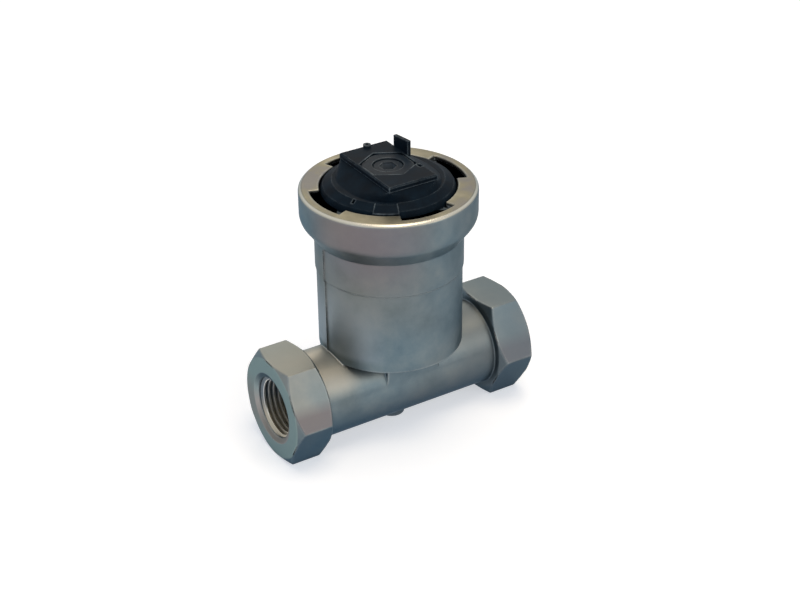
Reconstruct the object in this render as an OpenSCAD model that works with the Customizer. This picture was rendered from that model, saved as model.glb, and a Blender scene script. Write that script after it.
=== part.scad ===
// Pressure regulator: one-piece threaded tee body with a bayonet collar,
// and a moulded bonnet that carries the setting spring over a diaphragm valve.
// The pipe runs along X, the valve axis is Z, and the hexagon flats rest on z = 0.

/* [Ports and pipe] */
// Distance between the two port faces
body_len = 93; // [88:0.5:110]
// Width across the flats of both hexagon ends
hex_af = 35; // [33.5:0.5:40]
// Length of each hexagon end
hex_len = 13.6; // [12:0.2:17]
// Angle of the chamfers that round off the hexagon corners
hex_chamfer_deg = 30; // [20:5:40]
// Outside diameter of the pipe between the hexagons
pipe_d = 30; // [28:0.5:31.5]
// Radius of the port bore at the root of its G 1/2 thread
port_r = 10.48; // [9.6:0.02:11]
// Depth of each port bore
port_depth = 15; // [11:0.5:18]
// Width of the chamfer at the mouth of each port
port_chamfer = 0.4; // [0.2:0.1:1.2]
// Radius of the ducts behind the ports
duct_r = 8; // [6.5:0.25:8.4]

/* [Chamber] */
// Outside diameter of the lower chamber wall
chamber_d = 48.4; // [47.4:0.2:52]
// How far the upper chamber wall stands out from the lower one
chamber_step = 0.4; // [0.3:0.1:1.5]
// How deep the chamber's underside sits in the pipe
under_drop = 2; // [1.5:0.25:3]
// Height of the small step above the chamber's underside
step_h = 28.6; // [20:0.2:34]
// Thickness of the chamber floor
floor_t = 3; // [2.5:0.25:4.5]
// Radius of the bore round the valve cage
lower_bore_r = 19.5; // [19.2:0.1:20]
// Radius of the bore round the bonnet skirt
bonnet_bore_r = 21.5; // [21.3:0.1:22]
// Height of the diaphragm shoulder above the chamber floor
shoulder_h = 19.5; // [18.5:0.25:22]
// Length along the pipe of the saddle under the chamber
saddle_len = 20; // [12:1:28]
// Width across the pipe of the saddle under the chamber
saddle_w = 29; // [22:0.5:29.5]
// Diameter of the forged boss under the pipe
boss_d = 8.8; // [6:0.2:11]
// Clearance of the boss above the resting surface
boss_clear = 0.1; // [0.1:0.1:1.5]

/* [Collar and bayonet] */
// Height of the collar's top above the pipe axis
top_h = 70.1; // [68:0.1:76]
// Outside diameter of the collar
collar_d = 58.4; // [57.4:0.2:62]
// Height of the collar's straight side
collar_h = 10.5; // [8:0.1:13]
// Height of the cone under the collar
collar_cone_h = 6.2; // [4:0.2:9]
// Radius of the rounding between the cone and the collar's side
collar_round = 5; // [2:0.5:8]
// Chamfer on the collar's outer rim
rim_chamfer = 1; // [0.3:0.1:1.4]
// How far the seam of the forging dies stands proud on the chamber
seam_proud = 0.25; // [0.1:0.05:0.5]
// Thickness of the four inward tabs
lip_t = 1.4; // [1.2:0.1:2.4]
// Radius of the opening between the tabs
lip_r = 22.4; // [22:0.1:23]
// Radius of the four notches between the tabs
notch_r = 25.8; // [25.4:0.1:26.2]
// How much deeper than the notches the bayonet groove is turned
groove_relief = 0.3; // [0.2:0.1:0.6]
// Height of the bayonet groove under the tabs
groove_h = 5; // [4.4:0.1:6.5]
// Width of each notch as an angle
notch_deg = 44; // [43:0.5:45]
// Width of each bonnet lug as an angle
lug_deg = 41; // [38:0.5:41]
// Thickness of each bonnet lug
lug_t = 3.2; // [2.4:0.1:3.6]
// Width of the stop ribs at the ends of the groove as an angle
stop_deg = 2.6; // [2:0.1:3]

/* [Bonnet] */
// Height of the drum's top above the collar
drum_rise = 2.2; // [2:0.1:4.5]
// Radius of the drum's top edge
drum_top_r = 18.3; // [17.8:0.1:19]
// Thickness of the drum's top wall
drum_wall = 3; // [2.5:0.1:4]
// Height of the key plate above the collar
plate_rise = 7.2; // [6.5:0.1:10]
// Width of the key plate along the pipe
plate_x = 18; // [17:0.5:20]
// Length of the key plate across the pipe
plate_y = 30.8; // [28:0.2:32]
// Height of the key plate's upright side
plate_side = 1.8; // [0.8:0.1:2.4]
// Chamfer round the key plate's top
plate_chamfer = 0.4; // [0.2:0.1:0.6]
// Width of the ledge that the key plate's flared foot leaves free on the drum
ledge_w = 2.3; // [1:0.1:3]
// Radius of the spring space inside the bonnet
spring_room_r = 17; // [16.4:0.1:17.6]
// Thickness of the upright tab
tab_t = 1.2; // [1:0.1:2]
// Length of the upright tab
tab_len = 8.6; // [6:0.2:10]
// Height of the upright tab's front end above the key plate
tab_h = 4.8; // [3:0.1:6]
// How much lower the upright tab's back end is
tab_fall = 1; // [0:0.1:2]
// Distance of the upright tab's front end from the pipe's mid-plane
tab_at = 1.9; // [0:0.1:4]
// Width of the guide block on the drum's side as an angle
block_deg = 22; // [15:1:35]
// How far the guide block stands out from the drum's slope
block_proud = 0.8; // [0.4:0.1:1]
// Place of the guide block round the drum, from the outlet side
block_at = -123.5; // [-134:0.5:-110]
// Outside diameter of the eyelet for the seal wire
eyelet_d = 2.6; // [2.4:0.1:3.2]
// Section diameter of the bonnet O-ring
bonnet_ring_d = 2.4; // [2:0.1:2.6]

/* [Adjusting screw] */
// Radius of the adjusting screw's thread
screw_r = 5; // [4:0.5:6]
// Width across the flats of the screw's socket
socket_af = 5; // [4:0.5:5.5]
// Depth of the screw's socket
socket_depth = 6; // [3:0.5:8]
// Width across the flats of the threaded bush
bush_af = 15.6; // [15:0.1:16.4]
// Thickness of the bush's flange
bush_flange_t = 2; // [1.5:0.1:2.6]
// Radius of the bush's flange
bush_flange_r = 10.6; // [10:0.1:12]
// Depth of the well in the spring cup
cup_well = 8.4; // [6:0.2:10]

/* [Springs] */
// Outside diameter of the setting spring
spring_d = 25.6; // [25:0.2:26]
// Wire diameter of the setting spring
spring_wire = 2.6; // [1.8:0.1:2.7]
// Wall of the rims that hold both ends of the setting spring
rim_wall = 1.2; // [1:0.1:1.3]
// Number of turns of the setting spring
spring_turns = 5; // [4:0.5:6]
// Wire diameter of the return spring
return_wire = 0.7; // [0.5:0.1:0.9]
// Number of turns of the return spring
return_turns = 4; // [3:0.5:5]

/* [Valve] */
// Thickness of the valve cage's flange
cage_flange_t = 2.5; // [2:0.1:3.2]
// Thickness of the diaphragm
diaphragm_t = 1.8; // [1.4:0.1:2.4]
// Thickness of the slip ring
slip_t = 2.5; // [1.8:0.1:3]
// Thickness of the diaphragm plate
plate_t = 2; // [1.5:0.1:2.6]
// Thickness of the washer under the diaphragm
washer_t = 1.6; // [1:0.1:2]
// Depth of the seat wall below the shoulder
seat_drop = 11; // [10:0.25:11.5]
// Thickness of the seat wall
seat_wall = 2.5; // [2:0.1:3.2]
// Radius of the valve seat's opening
seat_r = 4.6; // [4:0.1:4.9]
// Radius of the valve stem
stem_r = 2.5; // [2.2:0.1:2.8]
// Radius of the well that takes the foot of the cage
well_r = 10; // [9.8:0.1:10.4]
// Depth of that well below the chamber floor
well_depth = 6.5; // [5.8:0.1:6.6]
// Height of the valve holder
holder_h = 4.3; // [3.4:0.1:4.8]
// Width across the flats of the stem nut
nut_af = 8; // [7:0.5:10]
// Height of the stem nut
nut_h = 4; // [3:0.1:5]

/* [Strainer] */
// Radius of the strainer's sleeve
strainer_r = 6.4; // [5.5:0.1:6.6]
// Wall of the strainer
strainer_wall = 0.7; // [0.5:0.1:0.9]
// Gap between the strainer's foot and the duct below it
strainer_foot_gap = 2; // [1:0.25:4]
// Radius of the strainer's holes
strainer_hole_r = 0.9; // [0.6:0.1:1]

/* [Clearances] */
// Gap between pieces that seat on each other
seat_gap = 0.05; // [0.02:0.01:0.1]
// Radial clearance of pieces that slide or turn in a bore
slide_gap = 0.3; // [0.2:0.05:0.35]
// Radial clearance of a shaft or thread in its hole
shaft_gap = 0.05; // [0.03:0.01:0.09]

/* [Hidden] */
$fn = 72;
// Overshoot of a cut past the face that it opens
cut = 1;
// Gap between pieces that are clamped on each other
fit = 0.02;
metal = [0.66, 0.64, 0.6];
black = [0.13, 0.15, 0.18];
rubber = [0.08, 0.08, 0.08];
steel = [0.75, 0.76, 0.78];
brass = [0.8, 0.66, 0.36];
resin = [0.88, 0.87, 0.82];

// Heights of the body
axis_z = hex_af / 2;
hex_corner_r = hex_af / sqrt(3);
pipe_r = pipe_d / 2;
under_h = pipe_r - under_drop;
under_z = axis_z + under_h;
floor_z = under_z + floor_t;
shoulder_z = floor_z + shoulder_h;
step_z = under_z + step_h;
collar_top = axis_z + top_h;
collar_foot = collar_top - collar_h;
cone_foot = collar_foot - collar_cone_h;
chamber_r = chamber_d / 2;
upper_r = chamber_r + chamber_step;
collar_r = collar_d / 2;
lip_z = collar_top - lip_t;
groove_z = lip_z - groove_h;
groove_r = notch_r + groove_relief;
lead_in = 1.2;
seam_w = 0.5;
cone_deg = atan2(collar_cone_h, collar_r - upper_r);
foot_arc_z = collar_foot + collar_round * tan((90 - cone_deg) / 2);

// Ducts inside the body
well_z = floor_z - well_depth;
throat_gap = 0.6;
throat_r = strainer_r + throat_gap;
strainer_foot = axis_z - duct_r + strainer_foot_gap;
throat_z = strainer_foot - throat_gap;
inlet_end = throat_r;
web_between = 4;
outlet_start = inlet_end + web_between;
duct_wall = 2;
slot_in_r = well_r + duct_wall;
slot_out_r = lower_bore_r - duct_wall / 2;
slot_half_w = sqrt(pow(pipe_r, 2) - pow(under_h, 2)) - duct_wall;

// Valve cage, from the shoulder down and from the well up
cage_r = lower_bore_r - slide_gap;
cage_wall = 1.8;
cage_in_r = cage_r - cage_wall;
cage_flange_r = bonnet_bore_r - slide_gap;
seat_wall_z = shoulder_z - seat_drop;
seat_lip_h = 0.4;
seat_z = seat_wall_z - seat_lip_h;
strainer_flange_t = 0.9;
foot_z = well_z + strainer_flange_t + 2 * seat_gap;
foot_r = well_r - slide_gap;
foot_wall = 2.2;
foot_in_r = foot_r - foot_wall;
foot_ring_d = 1.5;
foot_groove_r = well_r - foot_ring_d;
foot_groove_half = foot_ring_d / 2 + 2 * shaft_gap;
foot_ring_z = floor_z - 1.6;
cage_hole_r = 2.3;
cage_hole_at = (cage_in_r + foot_r) / 2;

// Stem guide and its circlip in the foot of the cage
clip_z = foot_z + 0.5;
clip_t = 0.8;
clip_bite = 0.6;
guide_z = clip_z + clip_t;
guide_t = 1.8;
guide_top = guide_z + guide_t;
guide_hole_r = 1.5;
hub_wall = 1;
hub_rise = 1;
tail_r = stem_r - 0.5;
tail_drop = 2.5;
stem_chamfer = 0.5;

// Valve holder and seal, hung just under the seat
seal_proud = 0.75;
seal_top = seat_z - seat_gap;
holder_top = seal_top - seal_proud;
holder_z = holder_top - holder_h;
flow_gap = 1.3;
holder_r = foot_in_r - flow_gap;
holder_lip = 0.6;
seal_r = holder_r - holder_lip;
seal_t = 2.2;
spring_step_h = 1;
spring_step_r = holder_r - 2 * holder_lip;
tail_top = holder_z + spring_step_h;

// Diaphragm stack above the cage flange
diaphragm_z = shoulder_z + cage_flange_t;
plate_z = diaphragm_z + diaphragm_t;
washer_z = diaphragm_z - washer_t;
spring_z = plate_z + plate_t;
skirt_z = plate_z + slip_t + seat_gap;
stem_top = spring_z + nut_h + 2 * stem_chamfer;
stem_collar_t = 1.4;
stem_collar_r = stem_r + cage_wall;
clamp_in_r = cage_in_r;
spring_seat_r = spring_d / 2 + slide_gap;
plate_r = spring_seat_r + rim_wall;
spring_seat_h = 1.6;
fold_r = (clamp_in_r - plate_r) / 2;
fold_at = (clamp_in_r + plate_r) / 2;

// Bonnet
bonnet_r = bonnet_bore_r - slide_gap;
drum_r = lip_r - slide_gap;
ring_above_foot = 9;
drum_top = collar_top + drum_rise;
plate_top = collar_top + plate_rise;
ceiling_z = drum_top - drum_wall;
lug_top = lip_z - slide_gap;
lug_z = lug_top - lug_t;
lug_r = notch_r - slide_gap;
ring_groove_floor = bonnet_bore_r - bonnet_ring_d;
ring_groove_half = bonnet_ring_d / 2 + 4 * shaft_gap;
bonnet_ring_z = skirt_z + ring_above_foot;

// Adjusting screw, its bush and the spring cup
bush_top = plate_top - 0.4;
bush_flange_top = ceiling_z - seat_gap;
bush_flange_z = bush_flange_top - bush_flange_t;
cup_top = bush_flange_z - 0.8;
cup_t = 2;
cup_wall = 1.4;
cup_floor = cup_top - cup_well;
bush_wall = 2.6;
bush_r = screw_r + bush_wall;
bush_clear = 0.5;
bush_z = cup_floor + cup_wall;
cup_in_r = bush_r + bush_clear;
cup_well_r = cup_in_r + cup_wall;
cup_r = plate_r;
screw_top = bush_top - 0.4;
screw_z = cup_floor + seat_gap;
spring_top = cup_top - cup_t;

// A pie slice centred on +X
module slice(r, deg, h) {
    reach = r * 1.5;
    linear_extrude(h)
        intersection() {
            circle(r);
            polygon([[0, 0], [reach, -reach * tan(deg / 2)], [reach, reach * tan(deg / 2)]]);
        }
}

// A slice of a ring, centred on +X
module ring_slice(r_in, r_out, deg, h) {
    difference() {
        slice(r_out, deg, h);
        translate([0, 0, -cut])
            cylinder(h = h + 2 * cut, r = r_in);
    }
}

// A tube standing on the given height
module tube(z, h, r_out, r_in) {
    translate([0, 0, z])
        difference() {
            cylinder(h = h, r = r_out);
            translate([0, 0, -cut])
                cylinder(h = h + 2 * cut, r = r_in);
        }
}

// An O-ring between the floor of its groove and its bore
module o_ring(floor_r, bore_r, z) {
    rotate_extrude()
        translate([(floor_r + bore_r) / 2, z])
            circle((bore_r - floor_r) / 2 - shaft_gap);
}

// A hexagonal prism, corners on Y
module hex_prism(af, h) {
    rotate(30)
        cylinder(h = h, r = af / sqrt(3), $fn = 6);
}

// Height along a coil spring with closed end turns, for t from 0 to 1
function coil_rise(t, ends) =
    t < ends ? 0.5 * t * t / ends :
    t > 1 - ends ? 1 - ends - 0.5 * (1 - t) * (1 - t) / ends :
    t - 0.5 * ends;

// A coil spring of round wire, its end turns closed
module coil_spring(z0, z1, d, wire, turns, sides, per_turn) {
    n = round(turns * per_turn);
    mid_r = (d - wire) / 2;
    ends = 1 / turns;
    rise = z1 - z0 - wire;
    rings = [for (i = [0 : n])
        let (a = 360 * i / per_turn, z = z0 + wire / 2 + rise * coil_rise(i / n, ends) / (1 - ends))
        for (k = [0 : sides - 1])
            let (b = 360 * (k + 0.5) / sides, r = mid_r + wire / 2 * cos(b))
            [r * cos(a), r * sin(a), z + wire / 2 * sin(b)]];
    skin = [for (i = [0 : n - 1], k = [0 : sides - 1])
        [i * sides + k, i * sides + (k + 1) % sides,
         (i + 1) * sides + (k + 1) % sides, (i + 1) * sides + k]];
    near_end = [for (k = [sides - 1 : -1 : 0]) k];
    far_end = [for (k = [0 : sides - 1]) n * sides + k];
    polyhedron(rings, concat(skin, [near_end, far_end]));
}

// Hexagon end with both corner chamfers, drawn for the +X side
module hex_end() {
    face_r = hex_af / 2 - 0.3;
    run = (hex_corner_r - face_r) * tan(hex_chamfer_deg);
    translate([body_len / 2 - hex_len, 0, axis_z])
        rotate([0, 90, 0])
            intersection() {
                rotate(30)
                    cylinder(h = hex_len, r = hex_corner_r, $fn = 6);
                rotate_extrude()
                    polygon([[0, 0], [face_r, 0], [hex_corner_r, run],
                             [hex_corner_r, hex_len - run], [face_r, hex_len], [0, hex_len]]);
            }
}

// Port bore with its chamfered mouth, cut from the +X side
module port_cut() {
    translate([body_len / 2 - port_depth, 0, axis_z])
        rotate([0, 90, 0])
            rotate_extrude()
                polygon([[0, 0], [port_r, 0], [port_r, port_depth - port_chamfer],
                         [port_r + port_chamfer + cut, port_depth + cut], [0, port_depth + cut]]);
}

// Points along an arc round a centre, for the outlines of turned forms
function arc(x, z, r, from, to, n) =
    [for (i = [0 : n]) let (a = from + (to - from) * i / n) [x + r * cos(a), z + r * sin(a)]];

// Outer form of the chamber and its collar
module chamber_form() {
    rotate_extrude()
        polygon(concat([[0, under_z - under_h / 3], [duct_r, under_z - under_h / 3], [duct_r, under_z],
                        [chamber_r, under_z], [chamber_r, step_z],
                        [upper_r, step_z + chamber_step / 2], [upper_r, cone_foot]],
                       arc(collar_r - collar_round, foot_arc_z, collar_round, cone_deg - 90, 0, 4),
                       [[collar_r, collar_top - rim_chamfer], [collar_r - rim_chamfer, collar_top],
                        [0, collar_top]]));
}

// Seam of the forging dies, a thin ridge up both ends of the chamber in the pipe's plane
module die_seam() {
    for (side = [0, 1])
        mirror([side, 0, 0])
            rotate([90, 0, 0])
                translate([0, 0, -seam_w / 2])
                    linear_extrude(seam_w)
                        polygon([[duct_r, under_z], [chamber_r + seam_proud, under_z],
                                 [chamber_r + seam_proud, step_z],
                                 [upper_r + seam_proud, step_z + chamber_step / 2],
                                 [upper_r + seam_proud, cone_foot - seam_proud],
                                 [upper_r - seam_proud, cone_foot + seam_proud],
                                 [duct_r, cone_foot]]);
}

// Stepped bore of the chamber with the bayonet groove, and the well for the cage's foot
module chamber_bore() {
    rotate_extrude()
        polygon([[0, throat_z], [throat_r, throat_z], [throat_r, well_z],
                 [well_r, well_z], [well_r, floor_z], [lower_bore_r, floor_z],
                 [lower_bore_r, shoulder_z], [bonnet_bore_r, shoulder_z],
                 [bonnet_bore_r, groove_z - 2 * lead_in], [bonnet_bore_r + lead_in, groove_z],
                 [groove_r, groove_z], [groove_r, lip_z],
                 [lip_r, lip_z], [lip_r, collar_top + cut], [0, collar_top + cut]]);
    for (k = [0 : 3])
        rotate(90 * k)
            translate([0, 0, lip_z - cut])
                slice(notch_r, notch_deg, lip_t + 2 * cut);
}

// The inlet duct under the well, and the outlet duct with its slot through the floor
module ducts() {
    translate([-body_len / 2 + port_depth - cut, 0, axis_z])
        rotate([0, 90, 0])
            cylinder(h = body_len / 2 - port_depth + cut + inlet_end, r = duct_r);
    translate([outlet_start, 0, axis_z])
        rotate([0, 90, 0])
            cylinder(h = body_len / 2 - port_depth + cut - outlet_start, r = duct_r);
    intersection() {
        tube(axis_z, floor_z - axis_z + cut, slot_out_r, slot_in_r);
        translate([0, -slot_half_w, axis_z - cut])
            cube([slot_out_r + cut, 2 * slot_half_w, floor_z - axis_z + 3 * cut]);
    }
}

// Stop ribs that end the bonnet's turn in the groove
module stop_ribs() {
    for (k = [0 : 3])
        rotate(90 * k + 22.5)
            translate([0, 0, groove_z])
                ring_slice(bonnet_bore_r + lead_in + 0.3, groove_r + 0.5, stop_deg, groove_h + 0.01);
}

// One-piece body: pipe, hexagon ends, chamber, collar, saddle and boss
module body() {
    color(metal) {
        difference() {
            union() {
                translate([0, 0, axis_z])
                    rotate([0, 90, 0])
                        cylinder(h = body_len - 2 * hex_len + 1, d = pipe_d, center = true);
                hex_end();
                mirror([1, 0, 0])
                    hex_end();
                chamber_form();
                die_seam();
                translate([-saddle_len / 2, -saddle_w / 2, axis_z])
                    cube([saddle_len, saddle_w, under_h + 0.5]);
                translate([0, 0, boss_clear])
                    cylinder(h = axis_z - boss_clear, d = boss_d);
                translate([0, 0, axis_z - pipe_r - 0.6])
                    cylinder(h = 3, r1 = boss_d / 2, r2 = boss_d / 2 + 3);
            }
            port_cut();
            mirror([1, 0, 0])
                port_cut();
            ducts();
            chamber_bore();
        }
        stop_ribs();
    }
}

// Valve cage: clamped flange, wall, seat wall with flow holes, and a tubular foot
module seat_cage() {
    color(resin)
        difference() {
            rotate_extrude()
                polygon([[foot_in_r, foot_z], [foot_r - 0.6, foot_z], [foot_r, foot_z + 0.8],
                         [foot_r, foot_ring_z - foot_groove_half],
                         [foot_groove_r, foot_ring_z - foot_groove_half],
                         [foot_groove_r, foot_ring_z + foot_groove_half],
                         [foot_r, foot_ring_z + foot_groove_half],
                         [foot_r, seat_wall_z], [cage_r, seat_wall_z],
                         [cage_r, shoulder_z + seat_gap], [cage_flange_r, shoulder_z + seat_gap],
                         [cage_flange_r, diaphragm_z - seat_gap], [cage_in_r, diaphragm_z - seat_gap],
                         [cage_in_r, seat_wall_z + seat_wall], [seat_r, seat_wall_z + seat_wall],
                         [seat_r, seat_z], [seat_r + 0.5, seat_z],
                         [seat_r + 0.9, seat_wall_z], [foot_in_r, seat_wall_z]]);
            translate([0, 0, clip_z - seat_gap])
                cylinder(h = clip_t + 2 * seat_gap, r = foot_in_r + clip_bite);
            for (k = [0 : 7])
                rotate(45 * k + 22.5)
                    translate([cage_hole_at, 0, seat_wall_z - cut])
                        cylinder(h = seat_wall + 2 * cut, r = cage_hole_r, $fn = 32);
        }
}

// O-ring that seals the cage's foot in the well
module cage_o_ring() {
    color(rubber)
        o_ring(foot_groove_r, well_r, foot_ring_z);
}

// Thimble strainer, its flange trapped between the well and the cage
module strainer() {
    rows = 6;
    pitch = (well_z - strainer_foot) / (rows + 1);
    color(steel)
        difference() {
            union() {
                translate([0, 0, strainer_foot])
                    cylinder(h = well_z + strainer_flange_t - strainer_foot + seat_gap, r = strainer_r);
                translate([0, 0, well_z + seat_gap])
                    cylinder(h = strainer_flange_t, r = foot_r);
            }
            translate([0, 0, strainer_foot + strainer_wall])
                cylinder(h = well_z + 2 * strainer_flange_t - strainer_foot,
                         r = strainer_r - strainer_wall);
            for (row = [1 : rows], k = [0 : 9])
                translate([0, 0, strainer_foot + row * pitch])
                    rotate([0, 90, 36 * k + 18 * (row % 2)])
                        translate([0, 0, strainer_r - 2])
                            cylinder(h = 4, r = strainer_hole_r, $fn = 24);
        }
}

// Guide disc for the stem's tail, with four flow holes
module stem_guide() {
    color(resin)
        difference() {
            translate([0, 0, guide_z + seat_gap])
                union() {
                    cylinder(h = guide_t - seat_gap, r = foot_in_r - shaft_gap);
                    cylinder(h = guide_t + hub_rise, r = tail_r + hub_wall);
                }
            translate([0, 0, guide_z - cut])
                cylinder(h = guide_t + 3 * cut, r = tail_r + shaft_gap);
            for (k = [0 : 3])
                rotate(90 * k)
                    translate([(tail_r + hub_wall + foot_in_r) / 2, 0, guide_z - cut])
                        cylinder(h = guide_t + 2 * cut, r = guide_hole_r, $fn = 24);
        }
}

// Wire circlip under the guide
module guide_circlip() {
    color(steel)
        difference() {
            tube(clip_z, clip_t, foot_in_r + clip_bite - 0.1, foot_in_r - 0.9);
            translate([0, -1.6, clip_z - cut])
                cube([foot_in_r + 2, 3.2, clip_t + 2 * cut]);
        }
}

// Stem with a tail for the guide and a collar under the diaphragm washer
module valve_stem() {
    color(steel)
        rotate_extrude()
            polygon([[0, foot_z - tail_drop], [tail_r - stem_chamfer, foot_z - tail_drop],
                     [tail_r, foot_z - tail_drop + stem_chamfer],
                     [tail_r, tail_top], [stem_r, tail_top],
                     [stem_r, washer_z - stem_collar_t], [stem_collar_r, washer_z - stem_collar_t],
                     [stem_collar_r, washer_z - seat_gap], [stem_r, washer_z - seat_gap],
                     [stem_r, stem_top - stem_chamfer], [stem_r - stem_chamfer, stem_top],
                     [0, stem_top]]);
}

// Holder that carries the seal, pushed up against the stem's step
module valve_holder() {
    color(brass)
        rotate_extrude()
            polygon([[tail_r + shaft_gap, holder_z], [spring_step_r, holder_z],
                     [spring_step_r, tail_top], [holder_r, tail_top],
                     [holder_r, holder_top], [seal_r, holder_top], [seal_r, seal_top - seal_t],
                     [stem_r + shaft_gap, seal_top - seal_t], [stem_r + shaft_gap, tail_top - fit],
                     [tail_r + shaft_gap, tail_top - fit]]);
}

// Rubber seal ring in the holder
module valve_seal() {
    color(rubber)
        tube(seal_top - seal_t + fit, seal_t - fit, seal_r - shaft_gap, stem_r + shaft_gap);
}

// Light spring that closes the valve
module return_spring() {
    color(steel)
        coil_spring(guide_top + seat_gap, holder_z - seat_gap, 2 * (spring_step_r - shaft_gap),
                    return_wire, return_turns, 6, 16);
}

// Washer under the diaphragm with a turned-down edge
module diaphragm_washer() {
    color(brass)
        difference() {
            translate([0, 0, washer_z])
                cylinder(h = washer_t - fit, r1 = plate_r - washer_t, r2 = plate_r - washer_t / 2);
            translate([0, 0, washer_z - cut])
                cylinder(h = washer_t + 2 * cut, r = stem_r + shaft_gap);
        }
}

// Rubber diaphragm with one rolled fold between the plate and the clamped rim
module diaphragm() {
    color(rubber)
        rotate_extrude()
            difference() {
                union() {
                    translate([stem_r + shaft_gap, diaphragm_z])
                        square([cage_flange_r - stem_r - shaft_gap, diaphragm_t - fit]);
                    translate([fold_at, diaphragm_z + diaphragm_t - 0.3])
                        circle(fold_r - 0.1);
                }
                translate([fold_at, diaphragm_z])
                    circle(fold_r - 0.6);
                translate([fold_at - fold_r, diaphragm_z - fold_r - cut])
                    square([2 * fold_r, fold_r + cut]);
            }
}

// Plate on the diaphragm with a rim that centres the setting spring
module diaphragm_plate() {
    color(steel)
        rotate_extrude()
            polygon([[stem_r + shaft_gap, plate_z], [plate_r - 0.4, plate_z], [plate_r, plate_z + 0.4],
                     [plate_r, spring_z + spring_seat_h], [spring_seat_r, spring_z + spring_seat_h],
                     [spring_seat_r, spring_z], [stem_r + shaft_gap, spring_z]]);
}

// Nut on the stem over the plate
module stem_nut() {
    color(brass)
        translate([0, 0, spring_z + fit])
            difference() {
                intersection() {
                    hex_prism(nut_af, nut_h);
                    cylinder(h = nut_h, r1 = nut_af / 2 + nut_h, r2 = nut_af / 2);
                }
                translate([0, 0, -cut])
                    cylinder(h = nut_h + 2 * cut, r = stem_r + shaft_gap);
            }
}

// Slip ring between the diaphragm's rim and the bonnet's skirt
module slip_ring() {
    color(steel)
        tube(plate_z, slip_t, cage_flange_r, clamp_in_r + 0.1);
}

// Setting spring between the spring cup and the diaphragm plate
module setting_spring() {
    color(steel)
        coil_spring(spring_z + seat_gap, spring_top - seat_gap, spring_d,
                    spring_wire, spring_turns, 10, 24);
}

// Spring cup: a flange over the spring and a well round the bush
module spring_cup() {
    color(steel)
        rotate_extrude()
            polygon([[0, cup_floor - cup_t], [cup_well_r - 0.8, cup_floor - cup_t],
                     [cup_well_r, cup_floor - cup_t + 0.8],
                     [cup_well_r, spring_top], [spring_seat_r, spring_top],
                     [spring_seat_r, spring_top - spring_seat_h], [cup_r, spring_top - spring_seat_h],
                     [cup_r, cup_top - 0.6], [cup_r - 0.6, cup_top], [cup_in_r, cup_top],
                     [cup_in_r, cup_floor], [0, cup_floor]]);
}

// Threaded bush: hexagon through the key plate, flange under it, barrel below
module screw_bush() {
    color(black)
        difference() {
            union() {
                translate([0, 0, bush_flange_top - 0.5])
                    intersection() {
                        hex_prism(bush_af, bush_top - bush_flange_top + 0.5);
                        cylinder(h = bush_top - bush_flange_top + 0.5,
                                 r1 = bush_af / 2 + 8, r2 = bush_af / 2 + 0.5);
                    }
                translate([0, 0, bush_flange_z])
                    cylinder(h = bush_flange_t, r = bush_flange_r);
                translate([0, 0, bush_z])
                    cylinder(h = bush_flange_z - bush_z + 0.5, r = bush_r);
            }
            translate([0, 0, bush_z - cut])
                cylinder(h = bush_top - bush_z + 2 * cut, r = screw_r + shaft_gap);
        }
}

// Adjusting screw with a hexagon socket
module adjusting_screw() {
    color(steel)
        difference() {
            rotate_extrude()
                polygon([[0, screw_z], [screw_r - 0.9, screw_z], [screw_r, screw_z + 0.9],
                         [screw_r, screw_top - 0.4], [screw_r - 0.4, screw_top], [0, screw_top]]);
            translate([0, 0, screw_top - socket_depth])
                hex_prism(socket_af, socket_depth + cut);
        }
}

// Key plate on the drum: an upright chamfered rectangle over a foot that flares to the drum's ledge
module key_plate() {
    side_z = plate_top - plate_side;
    foot_x = drum_top_r - ledge_w;
    foot_y = drum_top_r - 0.2;
    hull() {
        translate([-plate_x / 2, -plate_y / 2, side_z - 0.01])
            cube([plate_x, plate_y, plate_side - plate_chamfer + 0.01]);
        translate([plate_chamfer - plate_x / 2, plate_chamfer - plate_y / 2, side_z])
            cube([plate_x - 2 * plate_chamfer, plate_y - 2 * plate_chamfer, plate_side]);
    }
    hull() {
        translate([-plate_x / 2 + 0.3, -plate_y / 2 + 0.3, side_z - 0.2])
            cube([plate_x - 0.6, plate_y - 0.6, 0.2]);
        for (side = [-1, 1])
            translate([0, side * (foot_y - foot_x), drum_top - 0.4])
                cylinder(h = 0.4, r = foot_x, $fn = 48);
    }
}

// Upright tab along the key plate's outlet edge, its foot sunk into the flare under the plate
module upright_tab() {
    foot = plate_side + 1;
    translate([plate_x / 2 - tab_t / 3, tab_at, plate_top])
        rotate([90, 0, 90])
            linear_extrude(tab_t)
                polygon([[0, -foot], [tab_len, -foot], [tab_len, tab_h - tab_fall], [0, tab_h]]);
}

// Guide block, a short raised length of the drum's slope
module guide_block() {
    rotate(block_at)
        translate([0, 0, collar_top])
            intersection() {
                ring_slice(drum_top_r - 1, drum_r, block_deg, drum_rise - fit);
                cylinder(h = drum_rise, r1 = drum_r + 0.6, r2 = drum_top_r + block_proud);
            }
}

// Shallow groove in the drum's side before the guide block
module guide_groove() {
    turn = 33;
    width = 1;
    depth = 1.4;
    rotate(block_at - turn)
        translate([drum_top_r + fit, -width / 2, drum_top - depth])
            cube([depth, width, depth + cut]);
}

// Eyelet for a seal wire at the back edge of the key plate
module eyelet() {
    translate([eyelet_d / 3, plate_y / 2 - eyelet_d / 3, plate_top - 0.5])
        difference() {
            cylinder(h = 1.3, d = eyelet_d);
            translate([0, 0, 0.3])
                cylinder(h = 2, d = eyelet_d - 1.4);
        }
}

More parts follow.
